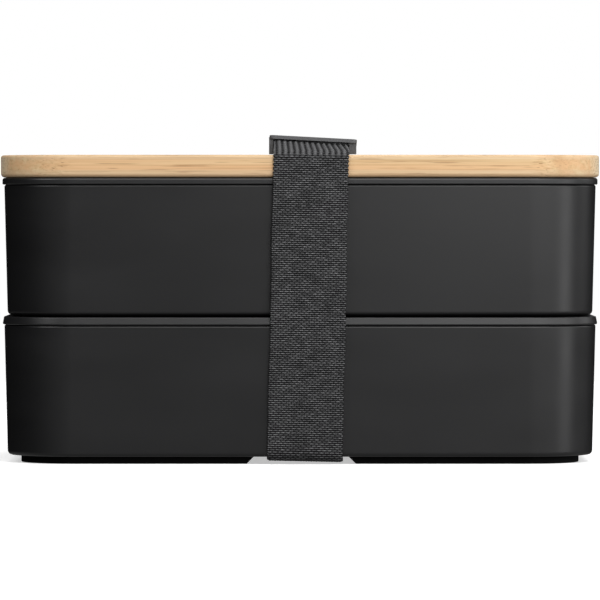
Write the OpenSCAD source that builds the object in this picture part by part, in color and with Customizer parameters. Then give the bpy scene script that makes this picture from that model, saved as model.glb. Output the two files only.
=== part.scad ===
// Two-tier bento lunch box: two trays, a sealing middle lid, a bamboo top lid and an elastic strap.
// Origin: centre of the footprint, on the surface the box stands on. +X is the length, +Z is up.

/* [Plan] */
// Overall length of the bamboo board
board_len = 195; // [180:1:210]
// Overall depth of the bamboo board
board_depth = 118; // [110:1:130]
// Plan radius of the board's corners
board_r = 24; // [22:0.5:28]

/* [Trays] */
// Height of each tray from its foot to its rim
tray_h = 44.75; // [40:0.25:60]
// Height of the foot ring under each tray
foot_h = 2.4; // [2:0.1:4]
// Wall and floor thickness of the mouldings
wall = 1.8; // [1.4:0.1:2.2]
// How much a wall leans outwards over its height
draft = 1; // [0.6:0.1:1.2]
// Setback of a tray's rim from the board's edge
rim_inset = 1.1; // [0.8:0.1:1.4]
// Setback of the foot ring from the board's edge
foot_inset = 6.6; // [6:0.1:8]

/* [Lids] */
// Height of the middle lid's bead
bead_h = 2.4; // [2:0.1:2.8]
// Setback of the lid bands from the board's edge
band_inset = 0.5; // [0.3:0.1:0.6]
// Gap between a lid band and the rim below it
seat_gap = 0.25; // [0.2:0.05:0.4]
// Gap between the upper tray's underside and the bead
tier_gap = 0.5; // [0.4:0.05:0.8]
// How far each lid's skirt reaches into its tray
skirt_h = 6; // [5:0.5:8]
// Thickness of each lid's plate
plate_t = 1.5; // [1.2:0.1:1.8]
// Thickness of the bamboo board
board_t = 7.2; // [6:0.1:9]

/* [Cutlery recess] */
// Inside length of the recess
recess_len = 156; // [150:1:160]
// Inside depth of the recess, front to back
recess_depth = 62; // [60:1:64]
// How far the recess floor lies below the lid plate's top
recess_drop = 7.5; // [7:0.5:9]
// Length of each piece of cutlery
cutlery_len = 136; // [130:1:138]

/* [Strap] */
// Width of the elastic
strap_w = 24.2; // [20:0.2:24.4]
// Thickness of the elastic
strap_t = 1.1; // [0.9:0.05:1.2]
// Sideways place of the strap at half height
strap_x = 2.55; // [0:0.05:3]
// Lean of the strap to the side, in degrees
strap_lean = 1.2; // [0:0.1:1.5]
// Width of the strap notch at the top of the foot ring
notch_w = 30.5; // [30:0.5:34]

/* [Dividers] */
// Place of the lower tray's divider along the tray
lower_divider_x = -30; // [-60:1:60]
// Place of the upper tray's divider along the tray
upper_divider_x = 25; // [-60:1:60]

/* [Slider] */
// Length of the slider across the strap
slider_w = 28.2; // [28:0.1:30]
// Length of the slider along the strap
slider_len = 16.4; // [16:0.1:17]
// Thickness of the slider
slider_t = 1.2; // [1:0.1:1.4]
// How far the slider's front edge is tipped up, in degrees
slider_tip = 9.5; // [8:0.5:10]
// How far the slider leans down to the right, in degrees
slider_roll = 3; // [0:0.5:3]

/* [Hidden] */
$fn = 48;

// every outline shares these corner centres, so a radius from them says where a wall stands
corner_x = board_len / 2 - board_r;
corner_y = board_depth / 2 - board_r;
rim_r = board_r - rim_inset;
band_r = board_r - band_inset;
foot_r = board_r - foot_inset;
base_r = rim_r - draft;
edge_fillet = 2.6;
inner_fillet = 4;
fillet_top = foot_h + edge_fillet;
floor_top = foot_h + wall;
foot_wall = 1.8;
edge_break = 0.3;

// levels of the stack
seat_z = tray_h + seat_gap;
bead_z = seat_z + bead_h;
upper_z = bead_z + tier_gap - foot_h;
plate_z = upper_z - plate_t;
top_seat_z = upper_z + tray_h + seat_gap;
frame_top = top_seat_z + 2;
board_z = frame_top + 0.1;
board_top = board_z + board_t;

// lids
skirt_r = rim_r - wall - 1.1;
skirt_t = 1.8;
groove_d = 0.9;
groove_h = 2.4;
groove_drop = 1.1;
nest_r = foot_r + 0.35;
tongue_r = 12;
tongue_t = 1.4;
tongue_h = 2.4;
tongue_play = 0.2;

// cutlery recess and vent
recess_r = 8;
recess_floor = upper_z - recess_drop;
vent_at = [72.5, -22];
vent_r = 2.5;
cutlery_x = -74;
cutlery_z = recess_floor + 0.4;
handle_t = 3.2;

// strap path, seen from the end of the box
strap_off = strap_t / 2;
tray_side = corner_y + base_r;
hem_r = edge_fillet + 0.4 + strap_off;
lid_side = board_depth / 2 + 0.1 + strap_off;
band_side = corner_y + band_r + 0.15 + strap_off;
strap_over = board_top + 0.35 + strap_off;
strap_mid = board_top / 2;

// slider, with its rear lower edge as its own origin
slider_x = 4.1;
slider_y = -38;
slider_z = board_top + 1.85;
slider_rail = 1.4;
leg_z = board_top + 0.35;
leg_flat = 15.3;
leg_reach = 15.4;
leg_wide = 2.3;
slider_bar = 2.4;
slider_slot = 4.2;
slider_centre = slider_len - 2 * slider_bar - 2 * slider_slot;

function wall_r(z) = base_r + (z - fillet_top) * draft / (tray_h - fillet_top);
function inner_r(z) = wall_r(z) - wall;
function arc_pts(cx, cy, r, a0, a1, steps) =
    [for (i = [0:steps]) let (a = a0 + (a1 - a0) * i / steps) [cx + r * cos(a), cy + r * sin(a)]];

// sweeps a (radius, height) outline along the four sides and round the four corners
module around() {
    for (k = [0:3]) {
        sx = (k == 0 || k == 3) ? 1 : -1;
        sy = k < 2 ? 1 : -1;
        translate([sx * corner_x, sy * corner_y, 0])
            rotate(k * 90)
                rotate_extrude(angle = 90)
                    children();
    }
    for (side = [0, 180])
        rotate(side)
            translate([corner_x, corner_y, 0])
                rotate([90, 0, 0])
                    linear_extrude(2 * corner_y)
                        children();
    for (side = [0, 180])
        rotate(side)
            translate([-corner_x, corner_y, 0])
                rotate([90, 0, 90])
                    linear_extrude(2 * corner_x)
                        children();
}

// fills the middle of a floor or plate inside the corner centres
module middle_slab(z, t) {
    translate([-corner_x, -corner_y, z])
        cube([2 * corner_x, 2 * corner_y, t]);
}

// rounded rectangle outline
module rounded(len, depth, r) {
    square([len - 2 * r, depth], center = true);
    square([len, depth - 2 * r], center = true);
    for (x = [-1, 1], y = [-1, 1])
        translate([x * (len / 2 - r), y * (depth / 2 - r)])
            circle(r);
}

module tray_profile() {
    polygon(concat(
        [[0, foot_h], [foot_r - foot_wall, foot_h], [foot_r - foot_wall, edge_break],
         [foot_r - foot_wall + edge_break, 0], [foot_r - edge_break, 0],
         [foot_r, edge_break], [foot_r, foot_h]],
        arc_pts(base_r - edge_fillet, fillet_top, edge_fillet, -90, 0, 6),
        [[wall_r(tray_h - edge_break), tray_h - edge_break], [rim_r - edge_break, tray_h],
         [rim_r - wall + edge_break, tray_h], [inner_r(tray_h - edge_break), tray_h - edge_break]],
        arc_pts(inner_r(floor_top + inner_fillet) - inner_fillet, floor_top + inner_fillet,
                inner_fillet, 0, -90, 6),
        [[0, floor_top]]));
}

// opening in the foot ring that lets the strap pass under the tray
module strap_notch() {
    shift = 0.4;
    translate([shift, corner_y + board_r, 0])
        rotate([90, 0, 0])
            linear_extrude(2 * (corner_y + board_r))
                polygon([[-notch_w / 2 - foot_h, -0.1], [notch_w / 2 + foot_h, -0.1],
                         [notch_w / 2, foot_h], [-notch_w / 2, foot_h]]);
}

module tray() {
    difference() {
        union() {
            around() tray_profile();
            middle_slab(foot_h, wall);
        }
        strap_notch();
    }
}

// upright wall that wedges between a tray's front and back and can be moved along it
module divider() {
    height = 31.5;
    low = floor_top + 0.3;
    play = 0.4;
    side_low = corner_y + inner_r(low + inner_fillet) - play;
    side_top = corner_y + inner_r(low + height) - play;
    blade_t = 1.4;
    for (s = [[blade_t, 0, height], [7, 0, 1.2], [3, height - 2.4, 2.4]])
        intersection() {
            translate([-s[0] / 2, -side_top, low + s[1]])
                cube([s[0], 2 * side_top, s[2]]);
            translate([-s[0] / 2 - 1, 0, 0])
                rotate([90, 0, 90])
                    linear_extrude(s[0] + 2)
                        polygon([[-side_low + inner_fillet, low], [side_low - inner_fillet, low],
                                 [side_low, low + inner_fillet], [side_top, low + height],
                                 [-side_top, low + height], [-side_low, low + inner_fillet]]);
        }
}

// lid skirt with its groove, from the seat down to the skirt's lower edge
function skirt_pts(seat) = [
    [skirt_r, seat], [skirt_r, seat - groove_drop], [skirt_r - groove_d, seat - groove_drop],
    [skirt_r - groove_d, seat - groove_drop - groove_h], [skirt_r, seat - groove_drop - groove_h],
    [skirt_r, seat - skirt_h + edge_break], [skirt_r - edge_break, seat - skirt_h],
    [skirt_r - skirt_t, seat - skirt_h]];

module gasket(seat) {
    root = skirt_r - groove_d + 0.05;
    lip = rim_r - wall - 0.25;
    low = seat - groove_drop - groove_h + 0.1;
    high = seat - groove_drop - 0.1;
    lip_t = 0.55;
    around()
        polygon([[root, low], [skirt_r, low], [lip, low + 0.25], [lip, low + lip_t + 0.1],
                 [skirt_r, low + lip_t + 0.2], [skirt_r, high - lip_t - 0.2],
                 [lip, high - lip_t - 0.1], [lip, high - 0.25], [skirt_r, high], [root, high]]);
}

module middle_lid() {
    bead_r = bead_h / 2;
    color("#2c2c2e")
        difference() {
            union() {
                around()
                    polygon(concat(
                        skirt_pts(seat_z),
                        [[skirt_r - skirt_t, plate_z], [0, plate_z], [0, upper_z],
                         [nest_r, upper_z], [nest_r, bead_z - edge_break],
                         [nest_r + edge_break, bead_z]],
                        arc_pts(band_r - bead_r, seat_z + bead_r, bead_r, 90, -90, 10)));
                middle_slab(plate_z, plate_t);
                translate([0, 0, recess_floor - plate_t])
                    linear_extrude(plate_z - recess_floor + 2 * plate_t)
                        rounded(recess_len + 2 * plate_t, recess_depth + 2 * plate_t, recess_r + plate_t);
            }
            translate([0, 0, recess_floor])
                linear_extrude(recess_drop + 1)
                    rounded(recess_len, recess_depth, recess_r);
            translate([vent_at.x, vent_at.y, recess_floor - plate_t - 1])
                cylinder(r = vent_r, h = plate_t + 2);
        }
}

module middle_lid_gasket() {
    color("#3a3a3c") gasket(seat_z);
}

// silicone plug that closes the vent hole in the recess floor
module vent_plug() {
    color("#4a4a4c")
        translate([vent_at.x, vent_at.y, recess_floor]) {
            translate([0, 0, 0.1])
                cylinder(r = 4.2, h = 1.1);
            translate([0, 0, -plate_t - 1.2])
                cylinder(r = vent_r - 0.15, h = plate_t + 1.4);
            translate([0, 0, 1.1])
                cylinder(r = 1.6, h = 1.6);
        }
}

// flat handle with round ends, lying along +X from the origin
module handle(len, w) {
    linear_extrude(handle_t) {
        translate([w / 2, -w / 2])
            square([len - w, w]);
        for (x = [w / 2, len - w / 2])
            translate([x, 0])
                circle(w / 2);
    }
}

module fork() {
    head_w = 18;
    tine_w = 2.7;
    tine_gap = (head_w - 4 * tine_w) / 3;
    color("#333335")
        translate([cutlery_x, 21, cutlery_z]) {
            translate([cutlery_len - 84, 0, 0])
                handle(84, 12);
            linear_extrude(2.2) {
                translate([28, -head_w / 2])
                    square([16, head_w]);
                translate([42, -4])
                    square([20, 8]);
                for (i = [0:3])
                    translate([tine_w / 2, -head_w / 2 + i * (tine_w + tine_gap)])
                        square([30, tine_w]);
                for (i = [0:3])
                    translate([tine_w / 2, -head_w / 2 + tine_w / 2 + i * (tine_w + tine_gap)])
                        circle(tine_w / 2);
            }
        }
}

module knife() {
    color("#333335")
        translate([cutlery_x, -21, cutlery_z]) {
            translate([cutlery_len - 80, 0, 0])
                handle(80, 12);
            linear_extrude(1.6)
                polygon(concat([[66, -5], [66, 6], [20, 7]],
                               arc_pts(20, -6, 13, 100, 170, 6),
                               [[9, -6.5], [56, -7]]));
        }
}

module spoon() {
    bowl_r = 14;
    dome_r = 24;
    dip = sqrt(dome_r * dome_r - bowl_r * bowl_r);
    color("#333335")
        translate([cutlery_x + cutlery_len, 0, cutlery_z]) {
            mirror([1, 0, 0])
                translate([cutlery_len - 84, 0, 1.2])
                    handle(84, 11);
            translate([-cutlery_len + 70, -3.5, 1.6])
                cube([cutlery_len - 92, 7, 2.4]);
            intersection() {
                translate([-bowl_r, 0, 0])
                    cylinder(r = bowl_r, h = 4.4);
                difference() {
                    translate([-bowl_r, 0, dome_r])
                        sphere(dome_r);
                    translate([-bowl_r, 0, dome_r + 1.4])
                        sphere(dome_r);
                }
            }
        }
}

module lower_tray() {
    color("#29292b") tray();
}

module upper_tray() {
    color("#29292b")
        translate([0, 0, upper_z])
            tray();
}

module lower_divider() {
    color("#3c3c3e")
        translate([lower_divider_x, 0, 0])
            divider();
}

module upper_divider() {
    color("#3c3c3e")
        translate([upper_divider_x, 0, upper_z])
            divider();
}

// black frame under the board: sealing skirt, visible band and the tongue the board is pressed onto
module top_lid_frame() {
    color("#2c2c2e") {
        around()
            polygon(concat(
                skirt_pts(top_seat_z),
                [[skirt_r - skirt_t, frame_top - plate_t], [0, frame_top - plate_t],
                 [0, frame_top], [tongue_r, frame_top], [tongue_r, frame_top + tongue_h],
                 [tongue_r + tongue_t, frame_top + tongue_h], [tongue_r + tongue_t, frame_top],
                 [band_r - edge_break, frame_top], [band_r, frame_top - edge_break],
                 [band_r, top_seat_z + edge_break], [band_r - edge_break, top_seat_z]]));
        middle_slab(frame_top - plate_t, plate_t);
    }
}

module top_lid_gasket() {
    color("#3a3a3c") gasket(top_seat_z);
}

module bamboo_board() {
    low_r = 0.7;
    high_r = 1.1;
    groove_in = tongue_r - tongue_play;
    groove_out = tongue_r + tongue_t + tongue_play;
    groove_top = board_z + tongue_h + tongue_play;
    color("#e0b880") {
        around()
            polygon(concat(
                [[0, board_z], [groove_in, board_z], [groove_in, groove_top],
                 [groove_out, groove_top], [groove_out, board_z]],
                arc_pts(board_r - low_r, board_z + low_r, low_r, -90, 0, 4),
                arc_pts(board_r - high_r, board_top - high_r, high_r, 0, 90, 6),
                [[0, board_top]]));
        middle_slab(board_z, board_t);
    }
}

// band of even thickness along an open line of (depth, height) points
function unit(v) = v / norm(v);
function side_of(v) = [-v.y, v.x];
function band_edge(p, off) = [for (i = [0:len(p) - 1])
    let (before = i == 0 ? unit(p[1] - p[0]) : unit(p[i] - p[i - 1]),
         after = i == len(p) - 1 ? before : unit(p[i + 1] - p[i]),
         n = unit(side_of(before) + side_of(after)))
        p[i] + n * off / (n * side_of(before))];
function reversed(p) = [for (i = [len(p) - 1:-1:0]) p[i]];

// from the tail on top, round the back, under the tray, up the front and through the slider
function strap_side(s) = [
    [s * band_side, bead_z - 0.2], [s * band_side, seat_z + 0.2],
    for (p = arc_pts(tray_side - edge_fillet, fillet_top, hem_r, 0, -90, 3)) [s * p.x, p.y]];
function strap_line() = concat(
    [[6, strap_over + strap_t + 0.1], [-31, strap_over + strap_t + 0.1],
     [-36.5, strap_over + 4.05], [-42.05, strap_over + 4.05], [-42.05, strap_over],
     [lid_side - 1.1, strap_over], [lid_side, strap_over - 1.1], [lid_side, board_z + 0.4]],
    strap_side(1),
    reversed(strap_side(-1)),
    [[-lid_side, board_z + 0.4], [-lid_side, strap_over - 1], [1.2 - lid_side, strap_over + 0.15],
     [-54.2, strap_over + 1.9], [-51, strap_over + 2.15], [-47.6, strap_over + 4.9],
     [-43.6, strap_over + 4.9], [-43.6, strap_over + 0.75], [-50.5, strap_over + 0.75]]);

module elastic_strap() {
    line = strap_line();
    color("#3b3b3d")
        translate([strap_x, 0, strap_mid])
            rotate([0, strap_lean, 0])
                translate([-strap_w / 2, 0, -strap_mid])
                    rotate([90, 0, 90])
                        linear_extrude(strap_w)
                            polygon(concat(band_edge(line, strap_off),
                                           reversed(band_edge(line, -strap_off))));
}

// deep part of a side rail, from the tipped frame down to the board; side is -1 for left, 1 for right
module slider_leg(side, wide) {
    x = side * (slider_w - wide) / 2;
    low = slider_z - x * tan(slider_roll);
    inside = slider_t / 2;
    translate([slider_x + x - wide / 2, slider_y, 0])
        rotate([90, 0, 90])
            linear_extrude(wide)
                polygon([[-0.4, leg_z], [-0.4, low + inside],
                         [-leg_reach, low + inside + leg_reach * tan(slider_tip)],
                         [-leg_reach, low + leg_reach * tan(slider_tip)],
                         [-leg_flat, leg_z]]);
}

// three-bar slider on the strap's front end
module strap_slider() {
    window = slider_w - 2 * slider_rail;
    color("#454547") {
        translate([slider_x, slider_y, slider_z])
            rotate([0, slider_roll, 0])
                rotate([-slider_tip, 0, 0])
                    difference() {
                        translate([0, -slider_len / 2, 0])
                            linear_extrude(slider_t)
                                rounded(slider_w, slider_len, 1.2);
                        for (y = [slider_bar, slider_bar + slider_slot + slider_centre])
                            translate([-window / 2, -y - slider_slot, -1])
                                cube([window, slider_slot, slider_t + 2]);
                    }
        slider_leg(-1, slider_rail);
        slider_leg(1, leg_wide);
    }
}

lower_tray();
lower_divider();
middle_lid();
middle_lid_gasket();
vent_plug();
fork();
knife();
spoon();
upper_tray();
upper_divider();
top_lid_frame();
top_lid_gasket();
bamboo_board();
elastic_strap();
strap_slider();
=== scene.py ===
"""Visual model of a bento lunch box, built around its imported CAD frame. Shapes are drawn in millimetres."""

import math

import bmesh
import bpy
import numpy as np
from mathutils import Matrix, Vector


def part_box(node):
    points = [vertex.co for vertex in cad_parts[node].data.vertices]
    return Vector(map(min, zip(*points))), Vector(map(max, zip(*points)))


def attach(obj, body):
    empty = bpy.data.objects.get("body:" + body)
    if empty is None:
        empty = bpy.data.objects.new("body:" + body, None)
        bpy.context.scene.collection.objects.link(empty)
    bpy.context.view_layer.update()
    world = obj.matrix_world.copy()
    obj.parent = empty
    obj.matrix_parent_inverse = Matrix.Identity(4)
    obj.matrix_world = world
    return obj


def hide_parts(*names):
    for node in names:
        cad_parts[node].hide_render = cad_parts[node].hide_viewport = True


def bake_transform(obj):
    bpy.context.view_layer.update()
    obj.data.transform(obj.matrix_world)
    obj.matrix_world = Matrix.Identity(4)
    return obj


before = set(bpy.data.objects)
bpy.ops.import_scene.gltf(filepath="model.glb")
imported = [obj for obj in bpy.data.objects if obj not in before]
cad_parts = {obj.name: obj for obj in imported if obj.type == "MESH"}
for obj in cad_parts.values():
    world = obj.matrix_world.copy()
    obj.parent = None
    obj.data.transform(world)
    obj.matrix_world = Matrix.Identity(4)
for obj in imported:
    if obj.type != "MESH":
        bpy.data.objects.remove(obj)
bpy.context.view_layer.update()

MM = 0.001  # metres in a millimetre


def box_mm(node):
    """Lowest and highest corners of a CAD node, in millimetres."""
    low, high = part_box(node)
    return low / MM, high / MM


# ---------------------------------------------------------------- sizes, from the frame
TRAY_HIGH = box_mm("lower_tray")[1]
UPPER_LOW, UPPER_HIGH = box_mm("upper_tray")
LID_LOW, LID_HIGH = box_mm("middle_lid")
TOP_HIGH = box_mm("top_lid_frame")[1]
BOARD_LOW, BOARD_HIGH = box_mm("bamboo_board")
SLIDER_LOW, SLIDER_HIGH = box_mm("strap_slider")

BOARD_R = 24.0  # plan radius of the board's corners; the other outlines share its corner centres
CORNER_X = BOARD_HIGH.x - BOARD_R
CORNER_Y = BOARD_HIGH.y - BOARD_R
RIM_R = TRAY_HIGH.x - CORNER_X
BAND_R = LID_HIGH.x - CORNER_X
WALL = 1.8
DRAFT = 1.0  # how far a tray's wall leans out over its height
FOOT_H = 2.4
FOOT_INSET = 6.6
FOOT_R = BOARD_R - FOOT_INSET
EDGE_FILLET = 2.6  # the CAD's lower edge, which the strap follows and from which the wall leans out
LOWER_EDGE = 1.5  # rounding of a tray's lower edge
FLOOR_TOP = FOOT_H + WALL
TRAY_H = TRAY_HIGH.z
UPPER_Z = UPPER_LOW.z
SEAT_GAP = 0.05  # the lids settle onto the rims
SEAT_Z = TRAY_H + SEAT_GAP
BEAD_Z = LID_HIGH.z
TOP_SEAT_Z = UPPER_HIGH.z + SEAT_GAP
TONGUE_H = 2.4
FRAME_TOP = TOP_HIGH.z - TONGUE_H
BOARD_Z = BOARD_LOW.z
BOARD_TOP = BOARD_HIGH.z


# ---------------------------------------------------------------- mesh helpers
CORNER_STEPS = 14  # faces round each quarter of an outline's corners


def mesh_object(name, points, faces, smooth=True):
    """A mesh object from points in millimetres."""
    mesh = bpy.data.meshes.new(name)
    mesh.from_pydata((np.asarray(points, float) * MM).tolist(), [], faces)
    mesh.update()
    mesh.polygons.foreach_set("use_smooth", [smooth] * len(mesh.polygons))
    obj = bpy.data.objects.new(name, mesh)
    bpy.context.scene.collection.objects.link(obj)
    return obj


def face_outward(obj):
    """Turns all the faces of a closed mesh outward."""
    edit = bmesh.new()
    edit.from_mesh(obj.data)
    bmesh.ops.recalc_face_normals(edit, faces=edit.faces)
    edit.to_mesh(obj.data)
    edit.free()
    return obj


def apply_modifiers(obj):
    """Makes what the modifiers give the object's own mesh."""
    bpy.context.view_layer.update()
    graph = bpy.context.evaluated_depsgraph_get()
    mesh = bpy.data.meshes.new_from_object(obj.evaluated_get(graph), depsgraph=graph)
    obj.modifiers.clear()
    obj.data = mesh
    return obj


def weighted(obj):
    """Flat faces keep flat shading beside small rounded edges."""
    modifier = obj.modifiers.new("weighted", "WEIGHTED_NORMAL")
    modifier.keep_sharp = True
    modifier.weight = 90
    return obj


def outline(points, step=12):
    """Rounds the corners of an open line of (r, z, radius) points, where a radius is given."""
    result = []
    for i, point in enumerate(points):
        here = Vector(point[:2])
        radius = point[2] if len(point) > 2 else 0
        if not radius or i in (0, len(points) - 1):
            result.append(tuple(here))
            continue
        before = (Vector(points[i - 1][:2]) - here).normalized()
        after = (Vector(points[i + 1][:2]) - here).normalized()
        half = before.angle(after) / 2
        reach = radius / math.tan(half)
        middle = here + (before + after).normalized() * radius / math.sin(half)
        start, end = here + before * reach - middle, here + after * reach - middle
        turn = start.angle(end)
        sign = 1 if start.x * end.y - start.y * end.x > 0 else -1
        count = max(2, math.ceil(math.degrees(turn) / step))
        first = math.atan2(start.y, start.x)
        for k in range(count + 1):
            a = first + sign * turn * k / count
            result.append((middle.x + radius * math.cos(a), middle.y + radius * math.sin(a)))
    return result


def ring_loop(half_x, half_y, radius, z):
    """Points round a rounded rectangle at height z, always in the same number and order."""
    points = []
    for k in range(4):
        sx = 1 if k in (0, 3) else -1
        sy = 1 if k < 2 else -1
        for i in range(CORNER_STEPS + 1):
            a = math.radians(90 * k + 90 * i / CORNER_STEPS)
            points.append((sx * (half_x - radius) + radius * math.cos(a),
                           sy * (half_y - radius) + radius * math.sin(a), z))
    return points


def shared_loops(profile):
    """Loops for a profile of (r, z) measured from the shared corner centres."""
    return [ring_loop(CORNER_X + r, CORNER_Y + r, r, z) for r, z in profile]


def skin(name, loops, closed=False):
    """Joins loops of equal length into one surface, with a flat face at each end of an open one."""
    count = len(loops[0])
    points = [p for loop in loops for p in loop]
    faces = []
    pairs = [(i, i + 1) for i in range(len(loops) - 1)]
    if closed:
        pairs.append((len(loops) - 1, 0))
    for a, b in pairs:
        for i in range(count):
            j = (i + 1) % count
            faces.append((a * count + i, a * count + j, b * count + j, b * count + i))
    if not closed:
        faces.append(tuple(reversed(range(count))))
        faces.append(tuple(range((len(loops) - 1) * count, len(loops) * count)))
    return face_outward(mesh_object(name, points, faces))


def cut(obj, cutter):
    """Takes the cutter's shape out of obj."""
    modifier = obj.modifiers.new("cut", "BOOLEAN")
    modifier.operation = "DIFFERENCE"
    modifier.solver = "EXACT"
    modifier.object = cutter
    apply_modifiers(obj)
    bpy.data.objects.remove(cutter)
    return obj


def prism(name, corners, low, high):
    """A prism along Y from an outline of (x, z) corners."""
    count = len(corners)
    points = [(x, low, z) for x, z in corners] + [(x, high, z) for x, z in corners]
    faces = [tuple(range(count)), tuple(reversed(range(count, 2 * count)))]
    faces += [(i, i + count, (i + 1) % count + count, (i + 1) % count) for i in range(count)]
    return face_outward(mesh_object(name, points, faces, smooth=False))


# ---------------------------------------------------------------- material helpers
def set_range(node, low, high, out_low, out_high):
    """Sets the limits of a Map Range node."""
    for key, number in (("From Min", low), ("From Max", high), ("To Min", out_low), ("To Max", out_high)):
        node.inputs[key].default_value = number


class Nodes:
    """A small builder for node materials."""

    def __init__(self, name):
        self.material = bpy.data.materials.new(name)
        self.material.use_nodes = True
        self.tree = self.material.node_tree
        self.shader = self.tree.nodes["Principled BSDF"]

    def add(self, kind, **values):
        node = self.tree.nodes.new("ShaderNode" + kind)
        for key, value in values.items():
            setattr(node, key, value)
        return node

    def link(self, out, target):
        self.tree.links.new(out, target)

    def coords(self, scale=(1, 1, 1), rotation=(0, 0, 0)):
        """Object coordinates, stretched and turned."""
        place = self.add("TexCoord")
        mapping = self.add("Mapping")
        mapping.inputs["Scale"].default_value = scale
        mapping.inputs["Rotation"].default_value = rotation
        self.link(place.outputs["Object"], mapping.inputs["Vector"])
        return mapping.outputs["Vector"]

    def noise(self, vector, scale, detail=3.0, roughness=0.55):
        node = self.add("TexNoise")
        node.inputs["Scale"].default_value = scale
        node.inputs["Detail"].default_value = detail
        node.inputs["Roughness"].default_value = roughness
        self.link(vector, node.inputs["Vector"])
        return node.outputs["Fac"]

    def math(self, operation, a, b=None):
        node = self.add("Math", operation=operation)
        for socket, value in zip(node.inputs, (a, b)):
            if value is None:
                continue
            if isinstance(value, (int, float)):
                socket.default_value = value
            else:
                self.link(value, socket)
        return node.outputs["Value"]

    def spread(self, value, low, high, out_low, out_high):
        node = self.add("MapRange", clamp=True)
        set_range(node, low, high, out_low, out_high)
        self.link(value, node.inputs["Value"])
        return node.outputs["Result"]

    def ramp(self, value, stops):
        node = self.add("ValToRGB")
        elements = node.color_ramp.elements
        while len(elements) < len(stops):
            elements.new(0.5)
        for element, (place, colour) in zip(elements, stops):
            element.position = place
            element.color = (*colour, 1)
        self.link(value, node.inputs["Fac"])
        return node.outputs["Color"]

    def mix(self, factor, a, b):
        node = self.add("Mix", data_type="RGBA")
        for index, value in ((0, factor), (6, a), (7, b)):
            socket = node.inputs[index]
            if isinstance(value, (int, float)):
                socket.default_value = value
            elif isinstance(value, tuple):
                socket.default_value = (*value, 1)
            else:
                self.link(value, socket)
        return node.outputs[2]

    def bump(self, height, strength, distance):
        node = self.add("Bump")
        node.inputs["Strength"].default_value = strength
        node.inputs["Distance"].default_value = distance
        self.link(height, node.inputs["Height"])
        return node.outputs["Normal"]

    def finish(self, colour, roughness, normal, **others):
        """Sets the shader's inputs, each from a socket, a colour or a number, and gives the material."""
        for key, value in {"Base Color": colour, "Roughness": roughness, "Normal": normal, **others}.items():
            socket = self.shader.inputs[key.replace("_", " ")]
            if isinstance(value, bpy.types.NodeSocket):
                self.link(value, socket)
            elif isinstance(value, tuple):
                socket.default_value = (*value, 1)
            else:
                socket.default_value = value
        return self.material


def wear_mask(nodes):
    """Where edges stick out, from the geometry's pointiness."""
    geometry = nodes.add("NewGeometry")
    return nodes.spread(geometry.outputs["Pointiness"], 0.5, 0.62, 0.0, 1.0)


def plastic(name, colour, roughness, grain=0.02, lift=1.5, specular=0.5):
    """Satin moulded polypropylene: fine spark-eroded grain, faint flow marks and rubbed edges."""
    n = Nodes(name)
    fine = n.noise(n.coords(), 5200.0, 2.0)
    flow = n.noise(n.coords(scale=(1, 1, 3)), 22.0, 3.0)
    scuff = n.noise(n.coords(scale=(0.12, 1, 1), rotation=(0, 0, 0.3)), 900.0, 4.0, 0.7)
    edge = wear_mask(n)
    base = n.mix(n.spread(flow, 0.35, 0.65, 0.0, 1.0), colour, tuple(c * 1.12 for c in colour))
    base = n.mix(n.math("MULTIPLY", edge, 0.5), base, tuple(c * lift for c in colour))
    rough = n.math("ADD", n.spread(flow, 0.3, 0.7, roughness - 0.03, roughness + 0.03),
                   n.spread(scuff, 0.62, 0.8, 0.0, 0.08))
    height = n.math("ADD", fine, n.math("MULTIPLY", flow, 0.15))
    return n.finish(base, rough, n.bump(height, grain * 10, 0.00002), Specular_IOR_Level=specular)


def silicone(name, colour):
    """Matte silicone with a dusty bloom."""
    n = Nodes(name)
    dust = n.noise(n.coords(), 260.0, 4.0)
    fine = n.noise(n.coords(), 4000.0, 2.0)
    base = n.mix(n.spread(dust, 0.4, 0.7, 0.0, 1.0), colour, tuple(c * 1.35 for c in colour))
    return n.finish(base, n.spread(dust, 0.3, 0.7, 0.5, 0.62), n.bump(fine, 0.15, 0.00002),
                    Sheen_Weight=0.15)


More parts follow.
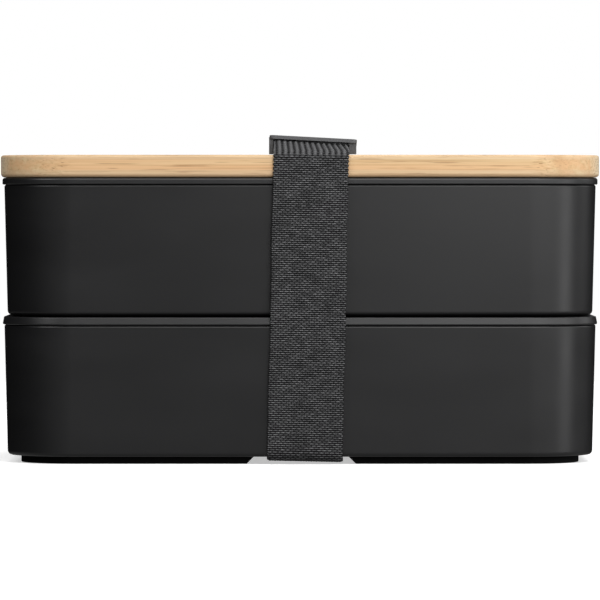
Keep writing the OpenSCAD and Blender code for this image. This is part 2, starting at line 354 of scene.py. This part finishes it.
def bamboo():
    """Edge-glued strips of bamboo along X: long fibres, tonal strips, knuckles and dotted end grain."""
    n = Nodes("bamboo")
    place = n.add("TexCoord").outputs["Object"]
    parts = n.add("SeparateXYZ")
    n.link(place, parts.inputs[0])
    x, y, z = parts.outputs
    strip_w = 0.0185
    lane = n.math("ADD", n.math("DIVIDE", y, strip_w), 0.5)
    strip = n.math("FLOOR", lane)
    chance = n.add("TexWhiteNoise", noise_dimensions="1D")
    n.link(strip, chance.inputs["W"])
    lot = chance.outputs["Value"]
    shifted = n.add("CombineXYZ")
    n.link(n.math("ADD", x, n.math("MULTIPLY", lot, 3.0)), shifted.inputs[0])
    n.link(y, shifted.inputs[1])
    n.link(z, shifted.inputs[2])

    def stretched(sx, sy, sz, scale, detail, rough=0.55):
        mapping = n.add("Mapping")
        mapping.inputs["Scale"].default_value = (sx, sy, sz)
        n.link(shifted.outputs[0], mapping.inputs["Vector"])
        return n.noise(mapping.outputs["Vector"], scale, detail, rough)

    # a knuckle crosses each strip once, and the fibres swerve a little at it
    turn = n.math("SINE", n.math("ADD", n.math("MULTIPLY", strip, 2.4), 8.54))
    away = n.math("ABSOLUTE", n.math("SUBTRACT", x, n.math("MULTIPLY", turn, 0.086)))
    knuckle = n.math("POWER", n.spread(away, 0.0, 0.0045, 1.0, 0.0), 1.5)
    facing = n.add("NewGeometry")
    normal = n.add("SeparateXYZ")
    n.link(facing.outputs["Normal"], normal.inputs[0])
    across = n.math("ABSOLUTE", normal.outputs[0])
    broad = stretched(5, 60, 60, 2.0, 3.0)
    fibres = stretched(9, 900, 900, 1.0, 3.0, 0.6)
    threads = stretched(14, 2300, 2300, 1.0, 2.0, 0.6)
    dashes = stretched(60, 2600, 2600, 1.0, 2.0, 0.5)
    pale, mid, deep = (0.71, 0.51, 0.295), (0.645, 0.435, 0.23), (0.46, 0.28, 0.13)
    base = n.ramp(n.spread(fibres, 0.28, 0.72, 0.0, 1.0), [(0.0, deep), (0.38, mid), (1.0, pale)])
    tone = n.math("ADD", n.math("MULTIPLY", lot, 0.5), n.math("MULTIPLY", broad, 0.6))
    base = n.mix(n.spread(tone, 0.25, 0.95, 0.0, 0.42), base, (0.68, 0.42, 0.20))
    hue = stretched(4, 420, 420, 1.0, 2.0)
    base = n.mix(n.spread(hue, 0.42, 0.62, 0.0, 0.5), base, (0.70, 0.405, 0.21))
    base = n.mix(n.spread(hue, 0.44, 0.3, 0.0, 0.5), base, (0.74, 0.585, 0.34))
    lengthwise = n.spread(across, 0.25, 0.6, 1.0, 0.2)
    streak = n.math("MULTIPLY", n.spread(threads, 0.52, 0.68, 0.0, 0.62), lengthwise)
    base = n.mix(streak, base, (0.46, 0.25, 0.10))
    fleck = n.math("MULTIPLY", n.spread(dashes, 0.6, 0.7, 0.0, 0.8), lengthwise)
    base = n.mix(fleck, base, (0.32, 0.165, 0.065))
    # painted light: the board's top is painted paler as a painted highlight, its lower part darker and duller
    # as painted shade
    painted_light_height = n.math("DIVIDE", n.math("SUBTRACT", z, BOARD_Z * MM), (BOARD_TOP - BOARD_Z) * MM)
    base = n.mix(n.spread(painted_light_height, 0.36, 0.3, 0.0, 0.4), base, (0.52, 0.39, 0.26))
    base = n.mix(n.spread(painted_light_height, 0.76, 0.84, 0.0, 0.3), base, (0.66, 0.52, 0.36))
    base = n.mix(n.math("MULTIPLY", knuckle, 0.38), base, (0.45, 0.26, 0.115))
    # end grain: cut fibre bundles as dots on a duller ground
    end = n.spread(across, 0.84, 0.97, 0.0, 1.0)
    cells = n.add("TexVoronoi", feature="F1")
    cells.inputs["Scale"].default_value = 1150.0
    flat = n.add("Mapping")
    flat.inputs["Scale"].default_value = (0.05, 1.0, 1.0)
    n.link(place, flat.inputs["Vector"])
    n.link(flat.outputs["Vector"], cells.inputs["Vector"])
    dots = n.spread(cells.outputs["Distance"], 0.22, 0.4, 1.0, 0.0)
    ground = n.mix(broad, (0.80, 0.66, 0.46), (0.70, 0.55, 0.36))
    ends = n.mix(n.math("MULTIPLY", dots, 0.75), ground, (0.28, 0.17, 0.09))
    base = n.mix(end, base, ends)
    height = n.math("ADD", n.math("MULTIPLY", fibres, 0.5), n.math("MULTIPLY", threads, 0.6))
    height = n.math("SUBTRACT", height, n.math("MULTIPLY", n.math("MULTIPLY", dots, end), 0.5))
    seam = n.math("ABSOLUTE", n.math("SUBTRACT", n.math("FRACT", lane), 0.5))
    seam = n.spread(seam, 0.492, 0.5, 0.0, 1.0)
    base = n.mix(n.math("MULTIPLY", seam, 0.35), base, (0.38, 0.21, 0.10))
    height = n.math("SUBTRACT", height, n.math("MULTIPLY", seam, 0.4))
    rough = n.spread(fibres, 0.3, 0.7, 0.62, 0.5)
    return n.finish(base, rough, n.bump(height, 0.35, 0.00012), Specular_IOR_Level=0.28)


STRAP_W = 24.2
COLUMNS = 58  # columns of mesh across the strap
COLUMN = STRAP_W / COLUMNS
THREAD = 4 * COLUMN  # spacing of the strap's raised threads across it
ROW = 0.69  # spacing of its rows along it
STRAP_UV = "strap"  # UV map that holds millimetres across and along the strap
PLEAT_UV = "pleats"  # UV map that holds the count of ribs across and how far they show
RIB = 1.9  # spacing of the ribs where the strap is gathered


def webbing(name, dark, light):
    """Plain woven elastic: rows of short raised threads, each row half a step from the next, with the gaps
    between them painted near black, partly the elastic's own dark and partly painted shade in the crevices.
    """
    n = Nodes(name)
    uv = n.add("UVMap", uv_map=STRAP_UV).outputs["UV"]
    wobble = n.noise(n.coords(), 500.0, 2.0)
    parts = n.add("SeparateXYZ")
    n.link(uv, parts.inputs[0])
    shake = n.math("MULTIPLY", n.math("SUBTRACT", wobble, 0.5), 0.3)
    across = n.math("ADD", n.math("DIVIDE", parts.outputs[0], THREAD), shake)
    along = n.math("ADD", n.math("DIVIDE", parts.outputs[1], ROW), 0.5)
    along = n.math("ADD", along, n.math("MULTIPLY", shake, 0.5))
    row = n.math("FLOOR", along)
    within = n.math("SUBTRACT", n.math("FRACT", along), 0.5)
    odd = n.math("MODULO", row, 2.0)
    stepped = n.math("ADD", across, n.math("MULTIPLY", odd, 0.5))
    dash = n.math("COSINE", n.math("MULTIPLY", stepped, 2 * math.pi))
    dash = n.math("POWER", n.math("ADD", n.math("MULTIPLY", dash, 0.5), 0.5), 0.6)
    thin = n.math("POWER", n.math("COSINE", n.math("MULTIPLY", within, math.pi)), 1.6)
    raised = n.math("MULTIPLY", n.spread(dash, 0.0, 0.7, 0.2, 1.0), n.spread(thin, 0.3, 0.95, 0.0, 1.0))
    cell = n.add("CombineXYZ")
    n.link(n.math("ROUND", stepped), cell.inputs[0])
    n.link(row, cell.inputs[1])
    chance = n.add("TexWhiteNoise", noise_dimensions="2D")
    n.link(cell.outputs[0], chance.inputs["Vector"])
    bright = n.spread(chance.outputs["Value"], 0.0, 1.0, 0.5, 1.0)
    patch = n.spread(n.noise(n.coords(), 150.0, 2.0), 0.3, 0.7, 0.75, 1.0)
    shown = n.math("MULTIPLY", raised, n.math("MULTIPLY", bright, patch))
    # where the elastic is gathered its long ribs show, with a painted highlight on their tops and painted
    # shade between them
    pleat = n.add("SeparateXYZ")
    n.link(n.add("UVMap", uv_map=PLEAT_UV).outputs["UV"], pleat.inputs[0])
    rib_light_and_shade = n.math("COSINE", n.math("MULTIPLY", pleat.outputs[0], 2 * math.pi))
    rib_light_and_shade = n.spread(rib_light_and_shade, -0.9, 0.7, 0.04, 0.5)
    shown = n.math("ADD", n.math("MULTIPLY", shown, n.spread(pleat.outputs[1], 0.0, 1.0, 1.0, 0.22)),
                   n.math("MULTIPLY", rib_light_and_shade, pleat.outputs[1]))
    fuzz = n.noise(n.coords(), 9000.0, 2.0)
    # the near-black between the raised threads is partly the elastic's own colour and partly painted shade in
    # the weave's crevices
    base = n.mix(shown, dark, light)
    height = n.math("ADD", raised, n.math("MULTIPLY", fuzz, 0.35))
    return n.finish(base, 0.72, n.bump(height, 0.7, 0.00018), Sheen_Roughness=0.5,
                    Sheen_Weight=0.02, Specular_IOR_Level=0.05)


tray_finish = plastic("tray_plastic", (0.0065, 0.0065, 0.0069), 0.36)
# a darker, less shiny copy of the tray plastic: painted shade for the foot ring and underside
foot_shade_finish = plastic("tray_underside_painted_shade", (0.003, 0.003, 0.0032), 0.7, specular=0.08)
lid_finish = plastic("lid_plastic", (0.009, 0.009, 0.0095), 0.38, lift=2.5)
divider_finish = plastic("divider_plastic", (0.022, 0.022, 0.023), 0.42)
cutlery_finish = plastic("cutlery_plastic", (0.022, 0.022, 0.023), 0.3)
slider_finish = plastic("slider_plastic", (0.05, 0.05, 0.052), 0.45, grain=0.04, lift=1.3)
silicone_finish = silicone("silicone", (0.035, 0.035, 0.036))
bamboo_finish = bamboo()
strap_finish = webbing("elastic_webbing", (0.002, 0.002, 0.0022), (0.196, 0.196, 0.201))


def dress(obj, finish, body, slot, *nodes):
    """Gives a piece its finish, its body and the CAD nodes it stands for; the slot is not used."""
    obj.data.materials.clear()
    obj.data.materials.append(finish)
    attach(obj, body)
    if nodes:
        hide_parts(*nodes)
    return obj


# ---------------------------------------------------------------- trays
CENTRE = 2.0  # radius of the innermost loop, where a flat face closes the floor


def wall_radius(z):
    """The outer wall leans out from the foot to the rim."""
    base = RIM_R - DRAFT
    return base + (z - FOOT_H - EDGE_FILLET) * DRAFT / (TRAY_H - FOOT_H - EDGE_FILLET)


def tray(name, base_z):
    """One tray moulding: foot ring, rounded lower edge, leaning wall, rolled rim and filleted floor."""
    foot_in = FOOT_R - WALL
    profile = outline([
        (CENTRE, FOOT_H), (foot_in, FOOT_H, 0.3), (foot_in, 0, 0.35), (FOOT_R, 0, 0.4),
        (FOOT_R, FOOT_H, 0.3), (wall_radius(FOOT_H), FOOT_H, LOWER_EDGE),
        (RIM_R, TRAY_H, 0.7), (RIM_R - WALL, TRAY_H, 0.4),
        (wall_radius(FLOOR_TOP) - WALL, FLOOR_TOP, 4.0), (CENTRE, FLOOR_TOP)])
    shell = skin(name, shared_loops([(r, z + base_z) for r, z in profile]))
    notch_half, shift, over = 15.25, 0.4, 1.0  # half width at its top, place in x, excess of the cut
    wide = notch_half + FOOT_H + over
    notch = prism("notch", [(shift - wide, base_z - over), (shift + wide, base_z - over),
                            (shift + notch_half, base_z + FOOT_H), (shift - notch_half, base_z + FOOT_H)],
                  -2 * BOARD_HIGH.y, 2 * BOARD_HIGH.y)
    cut(shell, notch)
    return weighted(shell)


def paint_foot_shade(obj, base_z):
    """The foot ring and the underside keep the mould's coarser texture, and are painted darker and less shiny
    as painted shade under the tray's overhang.
    """
    obj.data.materials.append(foot_shade_finish)
    for face in obj.data.polygons:
        face.material_index = int(face.center.z < (base_z + FOOT_H + 0.05) * MM)


for tray_name, foot_z, tier, tray_node in (("tray_lower", 0.0, "lower_tier", "lower_tray"),
                                           ("tray_upper", UPPER_Z, "upper_tier", "upper_tray")):
    paint_foot_shade(dress(tray(tray_name, foot_z), tray_finish, tier, "tray_plastic", tray_node), foot_z)


# ---------------------------------------------------------------- lids
SKIRT_GAP = 1.1
SKIRT_R = RIM_R - WALL - SKIRT_GAP
SKIRT_T = 1.8
SKIRT_H = 6.0
GROOVE_D = 0.9
GROOVE_H = 2.4
GROOVE_DROP = 1.1
PLATE_T = 1.5


def skirt(seat):
    """Outline of a lid's skirt from its seat down to its lower edge, with the gasket's groove."""
    groove = seat - GROOVE_DROP
    return [(SKIRT_R, seat, 0.2), (SKIRT_R, groove), (SKIRT_R - GROOVE_D, groove),
            (SKIRT_R - GROOVE_D, groove - GROOVE_H), (SKIRT_R, groove - GROOVE_H),
            (SKIRT_R, seat - SKIRT_H, 0.4), (SKIRT_R - SKIRT_T, seat - SKIRT_H, 0.4)]


def middle_lid():
    """Sealing lid between the trays: bead, nest for the upper tray's foot, cutlery recess, skirt."""
    floor_low = LID_LOW.z
    half_x, half_y, corner = 78.0, 31.0, 8.0  # inside of the cutlery recess
    bead_lean = 0.5
    nest_gap = 0.35
    nest = FOOT_R + nest_gap
    vent_hole_r = 2.5
    plate_z = UPPER_Z - PLATE_T

    def tub(profile):
        return [ring_loop(half_x + r, half_y + r, corner + r, z) for r, z in outline(profile)]

    inside = tub([(-5, floor_low + PLATE_T), (0, floor_low + PLATE_T, 1.5), (0, UPPER_Z, 0.6),
                  (2, UPPER_Z)])
    shell = outline([(nest - 1, UPPER_Z), (nest, UPPER_Z), (nest, BEAD_Z, 0.4),
                     (BAND_R - bead_lean, BEAD_Z, 0.35), (BAND_R, SEAT_Z, 0.45)] + skirt(SEAT_Z) +
                    [(SKIRT_R - SKIRT_T, plate_z, 0.5), (8, plate_z)])
    outside = tub([(PLATE_T + 1, plate_z), (PLATE_T, plate_z, 0.4), (PLATE_T, floor_low, 2.0),
                   (-5, floor_low)])
    lid = skin("lid_middle", inside + shared_loops(shell) + outside)
    plug_low, plug_high = box_mm("vent_plug")
    centre = (plug_low + plug_high) / 2 * MM
    bpy.ops.mesh.primitive_cylinder_add(vertices=48, radius=vent_hole_r * MM, depth=10 * MM,
                                        location=(centre.x, centre.y, floor_low * MM))
    cut(lid, bpy.context.object)
    return weighted(lid)


def top_frame():
    """Black frame under the board: sealing skirt and the band that shows below the bamboo."""
    tongue, tongue_t = 12.0, 1.4
    profile = outline([(CENTRE, FRAME_TOP), (tongue, FRAME_TOP), (tongue, FRAME_TOP + TONGUE_H, 0.3),
                       (tongue + tongue_t, FRAME_TOP + TONGUE_H, 0.3), (tongue + tongue_t, FRAME_TOP),
                       (BAND_R, FRAME_TOP, 0.85), (BAND_R, TOP_SEAT_Z, 0.35)] + skirt(TOP_SEAT_Z) +
                      [(SKIRT_R - SKIRT_T, FRAME_TOP - PLATE_T, 0.5), (CENTRE, FRAME_TOP - PLATE_T)])
    return weighted(skin("lid_frame", shared_loops(profile)))


def gasket(name, seat):
    """Ring in a skirt's groove with two soft lips."""
    root_gap, lip_gap, play = 0.05, 0.25, 0.1
    root = SKIRT_R - GROOVE_D + root_gap
    lip = RIM_R - WALL - lip_gap
    low, high = seat - GROOVE_DROP - GROOVE_H + play, seat - GROOVE_DROP - play
    profile = outline([(root, low + 0.5), (root, low), (SKIRT_R, low), (lip, low + 0.15, 0.2),
                       (lip, low + 0.7, 0.2), (SKIRT_R, low + 0.8, 0.1), (SKIRT_R, high - 0.8, 0.1),
                       (lip, high - 0.7, 0.2), (lip, high - 0.15, 0.2), (SKIRT_R, high), (root, high),
                       (root, low + 0.6)])
    return skin(name, shared_loops(profile), closed=True)


def board():
    """Bamboo board with eased edges and the groove for the frame's tongue."""
    groove_in, groove_out, groove_top = 11.8, 13.6, BOARD_Z + 2.6
    profile = outline([(CENTRE, BOARD_Z), (groove_in, BOARD_Z), (groove_in, groove_top),
                       (groove_out, groove_top), (groove_out, BOARD_Z), (BOARD_R, BOARD_Z, 1.3),
                       (BOARD_R, BOARD_TOP, 0.9), (CENTRE, BOARD_TOP)], step=10)
    return weighted(skin("board", shared_loops(profile)))


dress(middle_lid(), lid_finish, "middle_lid", "lid_plastic", "middle_lid")
dress(top_frame(), lid_finish, "top_lid", "lid_plastic", "top_lid_frame")
dress(board(), bamboo_finish, "top_lid", "bamboo", "bamboo_board")
dress(gasket("gasket_middle", SEAT_Z), silicone_finish, "middle_lid", "silicone", "middle_lid_gasket")
dress(gasket("gasket_top", TOP_SEAT_Z), silicone_finish, "top_lid", "silicone", "top_lid_gasket")


# ---------------------------------------------------------------- strap
STRAP_T = 1.1
STRAP_X = 2.55
STRAP_LEAN = math.radians(1.2)
BOARD_GAP = 0.35
LID_GAP = 0.1
BAND_GAP = 0.15
TRAY_GAP = 0.4
OVER_Z = BOARD_TOP + BOARD_GAP + STRAP_T / 2  # centre of the strap where it lies on the board
LID_SIDE = BOARD_HIGH.y + LID_GAP + STRAP_T / 2
BAND_SIDE = CORNER_Y + BAND_R + BAND_GAP + STRAP_T / 2
HEM_Y = CORNER_Y + RIM_R - DRAFT - EDGE_FILLET  # centre of the rounding that the strap follows
HEM_Z = FOOT_H + EDGE_FILLET
UNDER_Z = HEM_Z - EDGE_FILLET - TRAY_GAP - STRAP_T / 2
SLIDER_X = (SLIDER_LOW.x + SLIDER_HIGH.x) / 2
SLIDER_ROLL = math.radians(3)
TAIL_SLOT_Y = -42.05  # where the tail passes down the slider's rear slot
LOOP_SLOT_Y = -43.6  # where the front length, looped over the middle bar, passes down the same slot
TAIL_BEND = -31  # where the tail starts to rise to the slider
TAIL_END = 6.0
TAIL_Z = OVER_Z + STRAP_T + 0.1
TOP_SPLIT = TOP_SEAT_Z + 7.5
MIDDLE_SPLIT = UPPER_Z + 26
LOWER_SPLIT = SEAT_Z + 1


def strap_side(s):
    """From the middle lid's bead down to the tray's lower edge, on the side given by the sign s."""
    side = HEM_Y + EDGE_FILLET + TRAY_GAP + STRAP_T / 2
    return [(s * BAND_SIDE, SEAT_Z + 2.2, 1), (s * BAND_SIDE, SEAT_Z + 0.2, 1),
            (s * side, HEM_Z - 0.3, 0.3), (s * side, UNDER_Z, 3.2)]


def strap_route():
    """Centre line as (depth, height): tail, rear slot, back, underside, front, loop in the slider."""
    points = [(TAIL_END, TAIL_Z), (TAIL_BEND, TAIL_Z, 5), (-36.5, OVER_Z + 2.9, 2.6),
              (TAIL_SLOT_Y, OVER_Z + 3.3, 0.9), (TAIL_SLOT_Y, OVER_Z, 0.7), (LID_SIDE, OVER_Z, 1.9)]
    points += strap_side(1) + list(reversed(strap_side(-1)))
    points += [(-LID_SIDE, OVER_Z - 0.3, 1.9), (-54.2, OVER_Z + 2.2, 3), (-51, OVER_Z + 2.5, 1.5),
               (-48.2, OVER_Z + 4.1, 1.2), (LOOP_SLOT_Y, OVER_Z + 3.6, 0.9),
               (LOOP_SLOT_Y, OVER_Z + 0.8, 0.7), (-50.5, OVER_Z + 0.8)]
    return np.array(outline(points, step=9))


ROUTE = strap_route()
ROUTE_S = np.concatenate(([0], np.cumsum(np.linalg.norm(np.diff(ROUTE, axis=0), axis=1))))


def along(test):
    """Length along the strap to its first row that passes a test of (depth, height)."""
    fine = np.arange(0, ROUTE_S[-1], ROW)
    y, z = (np.interp(fine, ROUTE_S, ROUTE[:, k]) for k in (0, 1))
    return next(s for s, a, b in zip(fine, y, z) if test(a, b))


def weave(u, _, row):
    """Height of the threads, called as gathers is: each row's stand half a step from the next row's."""
    up = np.cos(2 * math.pi * (u / THREAD + row // 2 % 2 / 2))
    return np.where(row % 2 == 0, 0.01 + 0.07 * up, -0.05)


def pleats(u, s):
    """Ribs counted across the strap, leaning as it runs up into the slider, and how far they show."""
    rise = np.clip((np.interp(s, ROUTE_S, ROUTE[:, 1]) - OVER_Z) / 4, 0, 1)
    shown = np.clip((s - RAMP_START) / 0.8, 0, 1) * np.clip((RAMP_END - s) / 1.5, 0, 1)
    lean = rise * (0.5 + 2.4 * u / STRAP_W)
    return (u + lean) / RIB, shown


def gathers(u, s, row):
    """Height of the ribs where the strap runs up into the slider, and of the weave elsewhere."""
    count, shown = pleats(u, s)
    return shown * 0.3 * np.cos(2 * math.pi * count) + (1 - shown) * weave(u, s, row)


def ribbon(name, start, end, relief=weave, both=False):
    """A closed length of the strap between two places along its route, woven on its outer side or both."""
    rows = np.arange(round(start / ROW * 2), round(end / ROW * 2) + 1)
    s = rows * ROW / 2
    y, z = (np.interp(s, ROUTE_S, ROUTE[:, k]) for k in (0, 1))
    ahead, behind = s + 0.15, s - 0.15
    dy, dz = (np.interp(ahead, ROUTE_S, ROUTE[:, k]) - np.interp(behind, ROUTE_S, ROUTE[:, k])
              for k in (0, 1))
    size = np.hypot(dy, dz)
    ny, nz = -dz / size, dy / size
    columns = np.arange(COLUMNS + 1)
    outer = columns * COLUMN
    edge = np.minimum(columns, COLUMNS - columns)
    edge_drop, next_drop = 0.32, 0.08  # the selvedge is thinner than the rest
    rounding = np.where(edge == 0, -edge_drop, np.where(edge == 1, -next_drop, 0.0))
    inner_columns = columns[::-1] if both else columns[[-1, 0]]
    across = np.concatenate((outer, inner_columns * COLUMN))
    count = len(across)
    grid_u, grid_s = np.meshgrid(across, s)
    grid_c, grid_r = np.meshgrid(np.concatenate((columns, inner_columns)), rows)
    thick = np.full((len(s), count), STRAP_T / 2)
    thick[:, :COLUMNS + 1] += rounding + relief(grid_u, grid_s, grid_r)[:, :COLUMNS + 1]
    side = np.ones(count)
    side[COLUMNS + 1:] = -1
    if both:
        thick[:, COLUMNS + 1:] += rounding[::-1] + weave(grid_u, grid_s, grid_r)[:, COLUMNS + 1:]
    nick = 0.13  # every other row stands out at the edge
    serration = nick * np.where(grid_r % 4 < 2, 1, -1)
    at_edge = (grid_c == 0).astype(float) - (grid_c == COLUMNS).astype(float)
    wander = 0.1 * np.sin(grid_s / 9.0) + 0.07 * np.sin(grid_s / 3.7)
    x = grid_u - STRAP_W / 2 + at_edge * serration + wander
    level = side * thick
    py = y[:, None] + level * ny[:, None]
    pz = z[:, None] + level * nz[:, None] - BOARD_TOP / 2
    held = np.clip((z - OVER_Z - 0.4) / 2, 0, 1) * np.clip((TAIL_BEND - y) / 6, 0, 1)
    pz = pz - held[:, None] * (x + STRAP_X - SLIDER_X) * math.tan(SLIDER_ROLL)
    points = np.stack((STRAP_X + x * math.cos(STRAP_LEAN) + pz * math.sin(STRAP_LEAN), py,
                       BOARD_TOP / 2 - x * math.sin(STRAP_LEAN) + pz * math.cos(STRAP_LEAN)), axis=-1)
    faces = [(i * count + j, i * count + (j + 1) % count,
              (i + 1) * count + (j + 1) % count, (i + 1) * count + j)
             for i in range(len(s) - 1) for j in range(count)]
    faces += [tuple(reversed(range(count))), tuple(range((len(s) - 1) * count, len(s) * count))]
    obj = mesh_object(name, points.reshape(-1, 3), faces)
    layer = obj.data.uv_layers.new(name=STRAP_UV)
    corner = np.empty(len(obj.data.loops), dtype=np.int32)
    obj.data.loops.foreach_get("vertex_index", corner)
    places = np.stack((grid_u, grid_s), axis=-1).reshape(-1, 2)[corner]
    layer.data.foreach_set("uv", places.astype(np.float32).ravel())
    if relief is gathers:
        layer = obj.data.uv_layers.new(name=PLEAT_UV)
        count, shown = pleats(places[:, 0], places[:, 1])
        layer.data.foreach_set("uv", np.stack((count, shown), axis=-1).astype(np.float32).ravel())
    face_outward(obj)
    obj.data.materials.append(strap_finish)
    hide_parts("elastic_strap")
    return obj


SLOT_S = along(lambda y, z: y < -41.8 and z < OVER_Z + 1.2)
REAR_TOP_S = along(lambda y, z: y > 50 and z < TOP_SPLIT)
REAR_MIDDLE_S = along(lambda y, z: y > 50 and z < MIDDLE_SPLIT)
REAR_LOWER_S = along(lambda y, z: y > 50 and z < LOWER_SPLIT)
FRONT_LOWER_S = along(lambda y, z: y < -55 and z > LOWER_SPLIT)
FRONT_MIDDLE_S = along(lambda y, z: y < -55 and z > MIDDLE_SPLIT)
FRONT_TOP_S = along(lambda y, z: y < -55 and z > TOP_SPLIT)
RAMP_START = along(lambda y, z: y < -50 and z > BOARD_TOP - 0.9)
RAMP_END = along(lambda y, z: y > -48.6 and y < -44 and z > OVER_Z + 2)
END_S = math.floor(ROUTE_S[-1] / ROW) * ROW

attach(ribbon("strap_tail", 0, SLOT_S, both=True), "strap_slider")
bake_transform(ribbon("strap_rear_run", SLOT_S, REAR_TOP_S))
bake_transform(ribbon("strap_rear_upper", REAR_TOP_S, REAR_MIDDLE_S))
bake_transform(ribbon("strap_rear_middle", REAR_MIDDLE_S, REAR_LOWER_S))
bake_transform(ribbon("strap_under", REAR_LOWER_S, FRONT_LOWER_S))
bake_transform(ribbon("strap_front_middle", FRONT_LOWER_S, FRONT_MIDDLE_S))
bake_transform(ribbon("strap_front_upper", FRONT_MIDDLE_S, FRONT_TOP_S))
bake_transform(ribbon("strap_loop", FRONT_TOP_S, END_S, relief=gathers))


# ---------------------------------------------------------------- small mouldings
def softened(name, node, radius):
    """The CAD node's own shape with its hard edges rounded, as a moulding's are."""
    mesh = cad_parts[node].data.copy()
    obj = bpy.data.objects.new(name, mesh)
    bpy.context.scene.collection.objects.link(obj)
    edit = bmesh.new()
    edit.from_mesh(mesh)
    bmesh.ops.remove_doubles(edit, verts=edit.verts, dist=0.002 * MM)
    bmesh.ops.dissolve_limit(edit, angle_limit=math.radians(1.0), verts=edit.verts, edges=edit.edges)
    edit.to_mesh(mesh)
    edit.free()
    mesh.polygons.foreach_set("use_smooth", [True] * len(mesh.polygons))
    rounding = obj.modifiers.new("rounding", "BEVEL")
    rounding.width = radius * MM
    rounding.segments = 3
    rounding.limit_method = "ANGLE"
    rounding.angle_limit = math.radians(28)
    return weighted(obj)


for piece, part, soft_r, part_finish, part_slot in (
        ("divider_lower", "lower_divider", 0.35, divider_finish, "divider_plastic"),
        ("divider_upper", "upper_divider", 0.35, divider_finish, "divider_plastic"),
        ("cutlery_fork", "fork", 0.45, cutlery_finish, "cutlery_plastic"),
        ("cutlery_knife", "knife", 0.45, cutlery_finish, "cutlery_plastic"),
        ("cutlery_spoon", "spoon", 0.35, cutlery_finish, "cutlery_plastic"),
        ("plug", "vent_plug", 0.3, silicone_finish, "silicone"),
        ("slider", "strap_slider", 0.25, slider_finish, "slider_plastic")):
    dress(softened(piece, part, soft_r), part_finish, part, part_slot, part)


# ---------------------------------------------------------------- stage, lights and camera
def floor():
    """A plain pale floor."""
    half, below = 800.0, -0.05
    obj = mesh_object("floor", [(-half, -half, below), (half, -half, below), (half, half, below),
                                (-half, half, below)], [(0, 1, 2, 3)], smooth=False)
    n = Nodes("floor_paper")
    soft = n.noise(n.coords(), 30.0, 2.0)
    obj.data.materials.append(n.finish(n.mix(soft, (0.90, 0.90, 0.90), (0.93, 0.93, 0.93)), 0.9,
                                       n.bump(soft, 0.1, 0.0001), Specular_IOR_Level=0.1,
                                       Emission_Color=(1, 1, 1), Emission_Strength=0.5))
    obj.visible_glossy = False
    obj.visible_diffuse = False


def softbox(name, place, target, width, height, power):
    """A large area light aimed at a point, with both places in metres."""
    light = bpy.data.lights.new(name, "AREA")
    light.shape = "RECTANGLE"
    light.size = width
    light.size_y = height
    light.energy = power
    obj = bpy.data.objects.new(name, light)
    obj.location = place
    obj.rotation_euler = (Vector(target) - Vector(place)).to_track_quat("-Z", "Y").to_euler()
    obj.visible_camera = False
    bpy.context.scene.collection.objects.link(obj)


def surroundings(seen, dark, bright, under, toward):
    """A plain white backdrop whose light on the object comes mostly from one side and from below."""
    world = bpy.data.worlds.new("studio")
    world.use_nodes = True
    tree = world.node_tree
    backdrop = tree.nodes["Background"]
    backdrop.inputs["Color"].default_value = (1, 1, 1, 1)
    backdrop.inputs["Strength"].default_value = seen
    place = tree.nodes.new("ShaderNodeTexCoord")
    dot = tree.nodes.new("ShaderNodeVectorMath")
    dot.operation = "DOT_PRODUCT"
    dot.inputs[1].default_value = Vector(toward).normalized()
    fall = tree.nodes.new("ShaderNodeMapRange")
    fall.interpolation_type = "SMOOTHSTEP"
    set_range(fall, -0.35, 1.0, dark, bright)
    height = tree.nodes.new("ShaderNodeSeparateXYZ")
    low = tree.nodes.new("ShaderNodeMapRange")
    low.interpolation_type = "SMOOTHSTEP"
    set_range(low, -0.5, -0.12, under, 0.0)
    strength = tree.nodes.new("ShaderNodeMath")
    strength.operation = "ADD"
    side = tree.nodes.new("ShaderNodeBackground")
    side.inputs["Color"].default_value = (1, 1, 1, 1)
    path = tree.nodes.new("ShaderNodeLightPath")
    mix = tree.nodes.new("ShaderNodeMixShader")
    for out, target in (
            (place.outputs["Generated"], dot.inputs[0]), (dot.outputs["Value"], fall.inputs["Value"]),
            (place.outputs["Generated"], height.inputs[0]), (height.outputs["Z"], low.inputs["Value"]),
            (fall.outputs["Result"], strength.inputs[0]), (low.outputs["Result"], strength.inputs[1]),
            (strength.outputs[0], side.inputs["Strength"]), (path.outputs["Is Camera Ray"], mix.inputs[0]),
            (side.outputs[0], mix.inputs[1]), (backdrop.outputs[0], mix.inputs[2]),
            (mix.outputs[0], tree.nodes["World Output"].inputs["Surface"])):
        tree.links.new(out, target)
    bpy.context.scene.world = world
    bpy.context.scene.view_settings.view_transform = "Standard"


def camera():
    """A little lower than the upper tray's rim, far in front, with a long lens."""
    distance, height, tilt = 1.8, 0.083, 0.953  # metres, metres, degrees down
    data = bpy.data.cameras.new("camera")
    data.lens = 335.6
    data.sensor_width = 36.0
    data.clip_end = 50.0
    obj = bpy.data.objects.new("camera", data)
    obj.location = (0, BOARD_LOW.y * MM - distance, height)
    obj.rotation_euler = (math.radians(90 - tilt), 0, 0)
    bpy.context.scene.collection.objects.link(obj)
    bpy.context.scene.camera = obj


floor()
surroundings(1.0, 0.006, 0.32, 0.22, (0.6, -0.7, 0.3))
middle = (0, 0, 0.05)
softbox("key", (0.33, -0.46, 0.31), (0.33, 0, 0.31), 0.62, 0.5, 2.1)
softbox("edge", (0.62, -0.26, 0.2), (0.09, -0.04, 0.06), 0.22, 0.5, 0.95)
softbox("top", (0.1, 0.1, 1.3), middle, 1.6, 1.6, 4.5)
softbox("front", (0.15, -0.9, 0.95), middle, 1.0, 0.7, 6.5)
softbox("fill", (-0.8, -0.7, 0.8), middle, 0.6, 0.5, 5.5)
softbox("side", (1.1, 0.35, 0.4), (0, 0, 0.06), 0.5, 0.6, 1.5)
softbox("back", (0.3, 0.9, 1.0), (0, 0, 0.06), 1.0, 0.7, 4.0)
camera()
